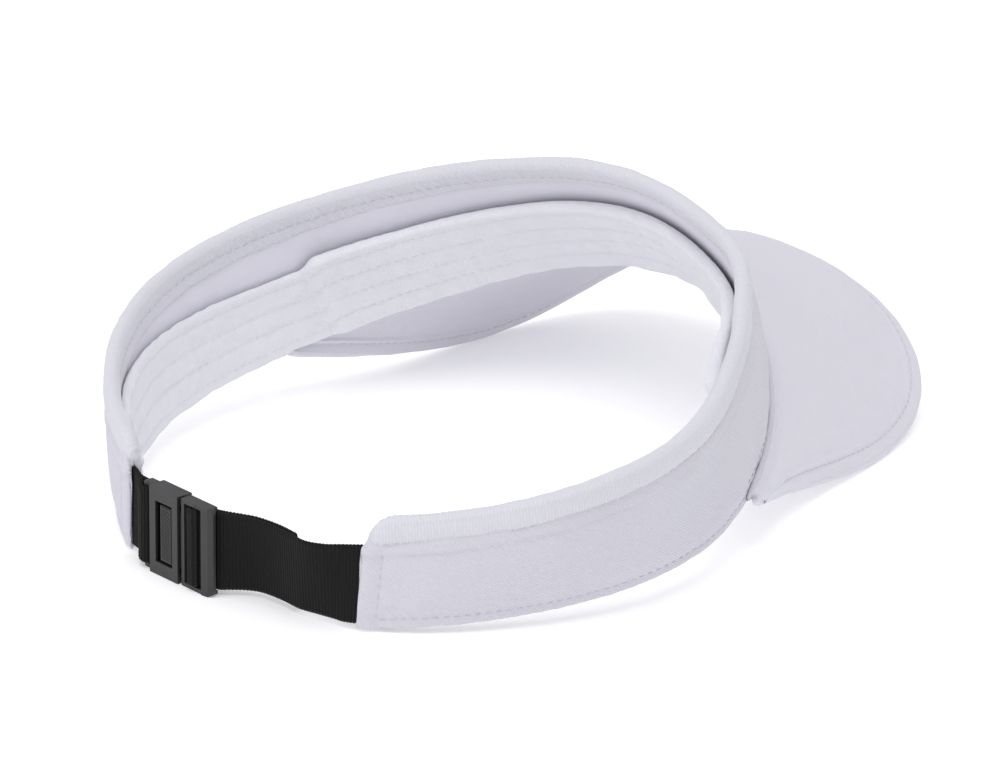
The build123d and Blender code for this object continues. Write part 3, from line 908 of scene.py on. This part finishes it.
def brim_at(angle, along, height):
    """Points of the brim: along is measured from its seam, height up from its middle surface."""
    angle, along, height = np.broadcast_arrays(angle, along, height)
    seam, forward, normal = tables(BRIM_KEYS, angle.ravel(), BRIM_SEAM, BRIM_FORWARD, BRIM_NORMAL)
    length = brim_length(angle.ravel())
    reach = along.ravel()
    share = reach / length
    crown = BRIM_CROWN * 4 * share * (1 - share) * np.minimum(1, length / 40)
    lift = (height.ravel() + crown)[:, None]
    points = settle(seam + forward * reach[:, None] + unit(normal) * lift)
    return points.reshape(angle.shape + (3,))


def brim_root(angle, height):
    """Where the brim's cloth goes into the band: just under the outer panel's face."""
    a = np.radians(angle).ravel()
    bottom, rise, out = tables(ANGLES, a, BOTTOM, RISE, OUT)
    level = (BRIM_SEAM_HEIGHT + np.broadcast_to(height, angle.shape).ravel())[:, None]
    return (bottom + unit(rise) * level - unit(out) * 0.2).reshape(angle.shape + (3,))


def brim_rows(step):
    walk = np.linspace(0, BRIM_WALK[-1], int(BRIM_WALK[-1] / step))
    return np.interp(walk, BRIM_WALK, BRIM_KEYS), walk


def brim_relief(walk, inward, along, side):
    """The cover's shape beyond its plain surface. inward is the distance from the free edge."""
    soft = 0.22 * noise(61 + side, walk / 34, along / 26)
    soft = soft + 0.10 * noise(63 + side, walk / 12, along / 12)
    puckers = 0.12 * gathers(65 + side, walk, inward - BRIM_ROW, 5, 4.5)
    seam = 0.25 * gathers(67 + side, walk, along, 6)
    edge_puff = 0.30 * bell(inward - 2.2, 1.9) + 0.62 * bell(inward - BRIM_ROW - 0.3, 0.75)
    inner_edge = 0.14 * (1 - smoothstep(13.0, 15.0, inward))
    dips = seam_dip(inward - BRIM_ROW + 1.3, walk, 0.16, 0.6)
    return soft + puckers + seam + edge_puff + inner_edge - dips


def brim_cover(name, side, node):
    """One of the brim's two cloths, turned in at the free edge."""
    angle, walk = brim_rows(step=2.2)
    angle, walk = angle[:, None], walk[:, None]
    length = brim_length(angle)
    share = np.linspace(0, 1, 46)
    outer_along = 0.6 + (length - 0.6) * share
    inner_along = outer_along[:, ::3][:, ::-1]
    face = side * BRIM_HALF_THICKNESS
    along, height, skin = section(
        angle,
        (outer_along, face, 1),
        (length + np.array([0.55, 0.95, 1.15]), face * np.array([0.92, 0.7, 0.4]), 1),
        (inner_along - 0.2, side * 0.95, 0),
    )
    walk_grid = walk + 0 * along
    fields = {"walk": walk_grid, "along": along, "face": skin, "inward": length - along}
    points = brim_at(angle + 0 * along, along, height)
    points[:, -1] = brim_root(angle, side * 0.2)[:, 0]
    points[:, 0] = brim_root(angle, face * 1.25)[:, 0]
    points[:, 1] = brim_at(angle + 0 * along, along, height + side * 0.25)[:, 1]
    piece = tube_grid(name, points, walk_grid, along, fields)
    walk_at, along_at, face_at, inward = fields_of(refine(piece), "walk", "along", "face", "inward")
    shift = brim_relief(walk_at, inward, along_at, side) * face_at * smoothstep(-1.2, -0.4, inward)
    push_out(piece, shift)
    return dress(piece, BRIM_TWILL_PAINTED_LIGHTER, "visor", "twill", node)


def round_tube(name, centre, outward, up, radii, fade, seed, material, slot, *nodes):
    """A soft roll along a line. outward and up are its section's two directions, with radii, and
    fade is how far from each tip it reaches its full size."""
    around = np.linspace(0, 2 * pi, 16, endpoint=False)
    walk = distances(centre)
    tip = np.clip(np.minimum(walk, walk[-1] - walk) / fade, 0, 1)
    keep = np.maximum(np.sqrt(1 - (1 - tip) ** 2), 0.15)[:, None, None]
    ring = outward[:, None] * (radii[0] * np.cos(around))[None, :, None]
    ring = ring + up[:, None] * (radii[1] * np.sin(around))[None, :, None]
    points = centre[:, None] + ring * keep
    walk_grid = walk[:, None] + 0 * around
    turn_grid = around + 0 * walk_grid
    piece = tube_grid(name, points, walk_grid, turn_grid * 1.5, {"walk": walk_grid, "turn": turn_grid})
    along, place = fields_of(refine(piece), "walk", "turn")
    push_out(piece, 0.14 * noise(seed, along / 5, place) + 0.05 * np.cos(2 * pi * along / 1.1 + place))
    return dress(piece, material, "visor", slot, *nodes)


def brim_roll():
    """The turned edge of the brim, a plump seam that runs back to the band at each corner."""
    angle = brim_rows(step=1.5)[0]
    ends = [np.full(9, key) for key in (angle[0], angle[-1])]
    back = np.linspace(-0.32, 0.96, 9)
    angles = np.concatenate([ends[0], angle, ends[1]])
    reach = np.concatenate([back, np.ones(len(angle)), back[::-1]]) * brim_length(angles)
    line = brim_at(angles, reach + 0.4 * (reach >= brim_length(angles)), 0 * reach)
    line = smooth_line(line, step=1.2)
    soft = [np.convolve(np.pad(line[:, k], 3, "edge"), np.ones(7) / 7, "valid") for k in range(3)]
    soft = np.stack(soft, -1)
    share = np.linspace(0, 1, len(soft))
    keys = distances(brim_at(angles, reach, 0 * reach))
    up = unit(turn(table(BRIM_KEYS, BRIM_NORMAL, np.interp(share, keys / keys[-1], angles))))
    ahead = unit(np.gradient(soft, axis=0))
    outward = unit(np.cross(up, ahead))
    middle = len(soft) // 2
    outward = outward * np.sign(outward[middle] @ turn(BRIM_FORWARD)[len(BRIM_KEYS) // 2])
    round_tube(
        "brim_edge_seam", soft, outward, up, EDGE_ROLL_RADII, 2.5, 71, BRIM_TWILL_PAINTED_LIGHTER, "binding",
        "brim_edge_roll",
    )


def brim_seam_roll():
    """The folded allowance where the brim is sewn to the band: a rounded ridge along the seam."""
    angles = np.linspace(-BRIM_END_ANGLE - 1.2, BRIM_END_ANGLE + 1.2, 330)
    a = np.radians(angles)
    bottom, rise, out = tables(ANGLES, a, BOTTOM, RISE, OUT)
    rise, out = unit(rise), unit(out)
    centre = bottom + rise * (BRIM_SEAM_HEIGHT + 0.35) + out * 0.35
    round_tube("brim_seam_ridge", centre, out, rise, SEAM_ROLL_RADII, 9.0, 72, TWILL, "twill")


# ---------------------------------------------------------------- rows of stitches
def band_row(name, piece, reach, height, side=1):
    """A row of stitches round the band on a piece's face: side is 1 outside, -1 inside."""
    s = np.arange(-reach, reach, 0.5)
    outward = table(ALONG, OUT, s) * side
    depth = 0.0 if side > 0 else 3.8
    line, normal = on_surface(piece, band_at(s, height(s), depth), outward)
    return stitch_row(name, line, normal)


def stitches(panel, binding, top_cover, under_cover):
    hem = band_row("hem_row", panel, S_END - 6, lambda s: HEM_ROW + 0 * s)
    leg = BINDING_LEG - 0.5
    below = band_row("binding_outer_row", binding, S_END - 2, lambda s: band_height(s) - leg)
    inside = band_row("binding_inner_row", binding, S_END - 9, lambda s: band_height(s) - INNER_ROW, -1)
    reach = s_at(BRIM_END_ANGLE)
    over_brim = band_row("brim_join_stitches", panel, reach, lambda s: BRIM_JOIN_ROW + 0 * s)
    ends = []
    for side in (-1, 1):
        h = np.arange(HEM_ROW, band_height(S_END) - BINDING_LEG, 0.5)
        s = side * (S_END - END_ROW) + 0 * h
        line, normal = on_surface(panel, band_at(s, h, 0.0), table(ALONG, OUT, s))
        ends.append(stitch_row("end_row", line, normal))
    dress(joined("band_stitches", [hem, below, inside, *ends]), WHITE_THREAD, "visor", "binding")
    # The row over the brim gets the dark thread: painted shade of its needle holes.
    dress(over_brim, PAINTED_HOLE_SHADE_THREAD, "visor", "binding")
    rows = []
    for side, cover in ((1, top_cover), (-1, under_cover)):
        angle = brim_rows(step=0.5)[0]
        length = brim_length(angle)
        keep = length > 2.4 * BRIM_ROW
        angle, length = angle[keep], length[keep]
        outward = unit(turn(table(BRIM_KEYS, BRIM_NORMAL, angle))) * side
        line = brim_at(angle, length - BRIM_ROW + 1.3, side * BRIM_HALF_THICKNESS)
        line, normal = on_surface(cover, line, outward)
        rows.append(stitch_row("brim_row", line, normal))
    dress(joined("brim_stitches", rows), WHITE_THREAD, "visor", "binding")


# ---------------------------------------------------------------- webbing and buckle frame
WEB_WIDTH = 24.0
WEB_THICKNESS = 1.4
WEB_EDGE_ROUND = 1.4
WEB_CENTRE_Z = 13.6
WEB_ANCHOR_ANGLE = 142.0
WEB_ANCHOR_LOW = 1.2
CORE_OUTER = 1.0
CORE_INNER = 2.4
BUCKLE_PLACE = np.array([2.0, 133.4])
BUCKLE_TURN = radians(-8.0)
BUCKLE_ACROSS = np.array([cos(BUCKLE_TURN), sin(BUCKLE_TURN)])
BUCKLE_OUTWARDS = np.array([-sin(BUCKLE_TURN), cos(BUCKLE_TURN)])
LOOP_BAR = (30.6, -2.75, 1.3)
CENTRE_BAR = (8.0, -1.9, 1.0)
STRAP_FACE_Y = -3.3
TAIL_DEPTH = 1.55
TAIL_START_SHARE = 0.334


def plan(x, y):
    """A place in the buckle's own frame, as x, y and no lean."""
    place = BUCKLE_PLACE + BUCKLE_ACROSS * x + BUCKLE_OUTWARDS * y
    return (place[0], place[1], 0.0)


# Each place along a webbing is x, y and how much further out its top edge lies than its bottom edge.
LONG_STRAP = [
    (-39.4, 123.1, 0.8), (-35.6, 124.8, 3.6), (-30.0, 126.1, 4.9), (-24.0, 126.0, 3.5),
    (-16.5, 124.7, 3.3), (-9.0, 124.5, 3.4), (-5.0, 125.6, 3.1), (-1.5, 127.4, 1.8),
    plan(0, STRAP_FACE_Y - 1.0), plan(2, STRAP_FACE_Y - 0.2), plan(4.3, STRAP_FACE_Y),
]


def bend(x, y, radius, *angles):
    """Stations round a bar at x, y."""
    return [plan(x + radius * cos(radians(a)), y + radius * sin(radians(a))) for a in angles]


LOOP_RADIUS = LOOP_BAR[2] + 0.2 + WEB_THICKNESS
SHORT_LOOP = [
    (38.6, 121.9, 0.0), (35.0, 122.9, 0.0), plan(LOOP_BAR[0], LOOP_BAR[1] - LOOP_RADIUS),
    *bend(LOOP_BAR[0], LOOP_BAR[1], LOOP_RADIUS, 215, 180, 145, 90),
    plan(33.2, -1.0), plan(35.0, -2.6), plan(36.6, -3.9),
]
BIGHT_REACH = CENTRE_BAR[2] + 0.1 + WEB_THICKNESS / 2
BIGHT_LOW = STRAP_FACE_Y - WEB_THICKNESS / 2
BIGHT_TAIL = BIGHT_LOW - TAIL_DEPTH
BIGHT = [
    *bend(CENTRE_BAR[0] - 2 * BIGHT_REACH, BIGHT_LOW + BIGHT_REACH, BIGHT_REACH, -90, -45, 0),
    *bend(CENTRE_BAR[0], CENTRE_BAR[1], BIGHT_REACH, 180, 135, 90, 45, 0),
    *bend(CENTRE_BAR[0], BIGHT_TAIL + BIGHT_REACH, BIGHT_REACH, 0, -45, -90),
]


def anchor_edges(side, depth):
    """The webbing's two edges inside the band, out to its rear end."""
    s = side * np.linspace(s_at(WEB_ANCHOR_ANGLE), S_END, 6)
    return band_at(s, WEB_ANCHOR_LOW + WEB_WIDTH, depth), band_at(s, WEB_ANCHOR_LOW, depth)


def anchored(side, depth, stations):
    """Two edge lines that start inside the band and go on through the stations."""
    return [np.vstack(pair) for pair in zip(anchor_edges(side, depth), station_edges(stations))]


def station_edges(stations):
    x, y, lean = np.array(stations).T
    half = WEB_WIDTH / 2
    top = np.stack([x, y + lean / 2, WEB_CENTRE_Z + half + 0 * x], -1)
    bottom = np.stack([x, y - lean / 2, WEB_CENTRE_Z - half + 0 * x], -1)
    return top, bottom


def webbing(name, edges, depth, start=0.0):
    """Ribbed webbing between two edge lines, from a share of their length to their end. depth is
    how far its first face lies to their right."""
    step = WEB_RIB / 6
    count = int(distances(smooth_line(edges[0], step=1.0))[-1] * (1.0 - start) / step)
    at = np.linspace(start, 1.0, count)
    fine = [smooth_line(edge, step=0.25) for edge in edges]
    upper, lower = (table(np.linspace(0, 1, len(line)), line, at) for line in fine)
    middle = (upper + lower) / 2
    walk = distances(middle)
    travel = np.gradient(middle, axis=0)
    right = unit(np.stack([travel[:, 1], -travel[:, 0], 0 * walk], -1))
    half = WEB_THICKNESS / 2
    across = np.linspace(0, 1, 34)
    past_flat = np.abs(across - 0.5) * 2 * WEB_WIDTH - (WEB_WIDTH - WEB_EDGE_ROUND)
    past_flat = np.clip(past_flat, 0, WEB_EDGE_ROUND)
    round_off = half * np.sqrt(np.clip(1 - (past_flat / WEB_EDGE_ROUND) ** 2, 0.04, 1))
    ribs = 0.13 * np.cos(2 * pi * walk / WEB_RIB)[:, None]
    warp = 0.08 * np.cos(pi * walk / WEB_RIB)[:, None] * np.cos(2 * pi * across * WEB_WIDTH / 1.25)
    selvage = 0.12 * bell(np.minimum(across, 1 - across) * WEB_WIDTH - 1.2, 0.7)
    relief = (ribs + warp + selvage) * (round_off / half) ** 2
    sheet_points = upper[:, None] * (1 - across)[None, :, None] + lower[:, None] * across[None, :, None]
    edge_wave = 0.10 * np.cos(2 * pi * walk / WEB_RIB)
    spread = ((across - 0.5) * 2)[None, :] ** 9 * edge_wave[:, None]
    sheet_points = sheet_points + unit(lower - upper)[:, None] * spread[..., None]
    centre = sheet_points + right[:, None] * (depth + half)
    tip = np.minimum(walk, walk[-1] - walk)[:, None]
    thin = np.sqrt(np.clip(1 - (1 - np.clip(tip / 0.6, 0, 1)) ** 2, 0.08, 1))
    bulk = right[:, None] * ((round_off + relief * 0.8) * thin)[..., None]
    points = np.concatenate([centre - bulk, (centre + bulk)[:, ::-1]], 1)
    return tube_grid(name, points, walk[:, None], np.concatenate([across, across[::-1]]) * WEB_WIDTH)


def straps():
    loop = webbing("short_loop_web", anchored(1, CORE_INNER, SHORT_LOOP), 0.0)
    dress(loop, WEBBING, "visor", "webbing", "short_strap_loop")
    bight = webbing("strap_bight_web", station_edges(BIGHT), -WEB_THICKNESS / 2)
    dress(bight, WEBBING, "male_half", "webbing", "strap_bight")
    piece = webbing("long_strap_web", anchored(-1, CORE_OUTER, LONG_STRAP), 0.0)
    piece.data.materials.append(WEBBING)
    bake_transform(piece)
    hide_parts("long_strap")
    along_tail = station_edges([*LONG_STRAP, plan(CENTRE_BAR[0] - 0.1, STRAP_FACE_Y)])
    tail = webbing("strap_tail_web", along_tail, TAIL_DEPTH, TAIL_START_SHARE)
    dress(tail, WEBBING, "free_strap_end", "webbing", "strap_tail")


# The press pad's face, in the buckle's own frame.
PAD_START_X = 16.9
PAD_END_X = 22.2
PAD_FACE_Y = -0.3
PAD_HALF_HEIGHT = 8.6
PAD_RIM = 0.4
HATCH_PITCH = 1.5
HATCH_DEPTH = 0.28


def press_pad():
    """The cross-hatched face of the press pad: crossing ridges between two plain rims."""
    z = np.linspace(-PAD_HALF_HEIGHT + PAD_RIM, PAD_HALF_HEIGHT - PAD_RIM, 110)[:, None]
    x = np.linspace(PAD_START_X + PAD_RIM, PAD_END_X - PAD_RIM, 34)[None]
    first = np.abs(((x + z) / HATCH_PITCH) % 1 - 0.5) * 2
    second = np.abs(((x - z) / HATCH_PITCH) % 1 - 0.5) * 2
    ridge = np.maximum(smoothstep(0.45, 0.9, first), smoothstep(0.45, 0.9, second))
    edge = np.minimum(np.minimum(x - x[0, 0], x[0, -1] - x), PAD_HALF_HEIGHT - PAD_RIM - np.abs(z))
    out = PAD_FACE_Y - 0.05 + HATCH_DEPTH * np.maximum(ridge, 1 - smoothstep(0.25, 0.45, edge))
    x_full = np.concatenate([x + 0 * z, (x + 0 * z)[:, ::-1]], 1)
    y_full = np.concatenate([out, 0 * out + PAD_FACE_Y - 0.3], 1)
    flat = BUCKLE_PLACE + x_full[..., None] * BUCKLE_ACROSS + y_full[..., None] * BUCKLE_OUTWARDS
    points = np.concatenate([flat, (z + WEB_CENTRE_Z + 0 * x_full)[..., None]], -1)
    piece = tube_grid("press_pad_hatching", points, z, x_full)
    piece.data.shade_flat()
    dress(piece, PLASTIC, "press_tongue", "buckle")


# ---------------------------------------------------------------- camera, light and floor
# The camera as fitted to the object's outline in the photo: what it looks at, how it is turned, in
# degrees, how far away it is and its lens.
CAMERA_FOCUS = (-6.03, RING_SETBACK - 13.51, RING_LIFT + 17.12)
CAMERA_AZIMUTH = 219.218
CAMERA_ELEVATION = 21.243
CAMERA_ROLL = 0.98
CAMERA_DISTANCE = 1488.84
CAMERA_LENS = 179.07
WORLD_STRENGTH = 0.76
FLOOR_GLOW = 0.22

# Each lamp's name, place and size in metres, and power.
LAMPS = (
    ("key", (-0.3, 0.5, 1.9), 1.3, 11.0),
    ("fill", (0.6, 1.5, 1.1), 1.2, 5.0),
    ("front", (0.2, -1.6, 1.1), 1.0, 1.0),
)


def camera_and_light():
    """The viewing angle is behind the wearer's right side, a little above, with a long lens."""
    scene = bpy.context.scene
    azimuth, elevation = radians(CAMERA_AZIMUTH), radians(CAMERA_ELEVATION)
    back = Vector((sin(azimuth) * cos(elevation), -cos(azimuth) * cos(elevation), sin(elevation)))
    data = bpy.data.cameras.new("camera")
    data.sensor_width = 36
    data.lens = CAMERA_LENS
    data.clip_end = 20
    camera = link(bpy.data.objects.new("camera", data))
    camera.location = Vector(CAMERA_FOCUS) * MM + back * (CAMERA_DISTANCE * MM)
    camera.rotation_mode = "QUATERNION"
    turned = Matrix.Rotation(radians(CAMERA_ROLL), 3, "Z").to_quaternion()
    camera.rotation_quaternion = back.to_track_quat("Z", "Y") @ turned
    scene.camera = camera
    scene.view_settings.view_transform = "Standard"
    world = bpy.data.worlds.new("studio")
    world.use_nodes = True
    world.node_tree.nodes["Background"].inputs[0].default_value = (0.97, 0.975, 1.0, 1)
    world.node_tree.nodes["Background"].inputs[1].default_value = WORLD_STRENGTH
    scene.world = world
    for name, place, size, power in LAMPS:
        lamp = bpy.data.lights.new(name, "AREA")
        lamp.shape = "DISK"
        lamp.size = size
        lamp.energy = power
        holder = link(bpy.data.objects.new(name, lamp))
        holder.location = place
        aim = Vector(place) - Vector((0, 0.02, 0.03))
        holder.rotation_mode = "QUATERNION"
        holder.rotation_quaternion = aim.to_track_quat("Z", "Y")


def floor():
    half = 6.0
    points = [(-half, -half, 0), (half, -half, 0), (half, half, 0), (-half, half, 0)]
    mesh = bpy.data.meshes.new("floor")
    mesh.from_pydata(points, [], [(0, 1, 2, 3)])
    piece = link(bpy.data.objects.new("floor", mesh))
    mesh.materials.append(Shader("floor_white").feed_surface({
        "Base Color": (0.93, 0.93, 0.935, 1), "Roughness": 0.9, "Specular IOR Level": 0.1,
        "Emission Color": (1, 1, 1, 1), "Emission Strength": FLOOR_GLOW,
    }))


# ---------------------------------------------------------------- the scene
camera_and_light()
floor()
panel_piece = outer_panel()
binding_piece = top_binding()
inner_lining()
sweatband()
top_piece = brim_cover("brim_top_cloth", 1, "brim_top_cover")
under_piece = brim_cover("brim_under_cloth", -1, "brim_under_cover")
brim_roll()
brim_seam_roll()
stitches(panel_piece, binding_piece, top_piece, under_piece)
straps()
press_pad()

EDGE_ROUNDING = 0.3
for node, material in (
    ("brim_seam_tape", PADDING), ("brim_stiffener", STIFF),
    ("buckle_female_housing", PLASTIC), ("buckle_male_frame", PLASTIC), ("buckle_press_tongue", PLASTIC),
):
    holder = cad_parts[node]
    for place in holder.material_slots:
        place.material = material
    if material is PLASTIC:
        rounding = holder.modifiers.new("Edges", "BEVEL")
        rounding.width = EDGE_ROUNDING * MM
        rounding.segments = 2
        rounding.limit_method = "ANGLE"
        rounding.angle_limit = radians(40)
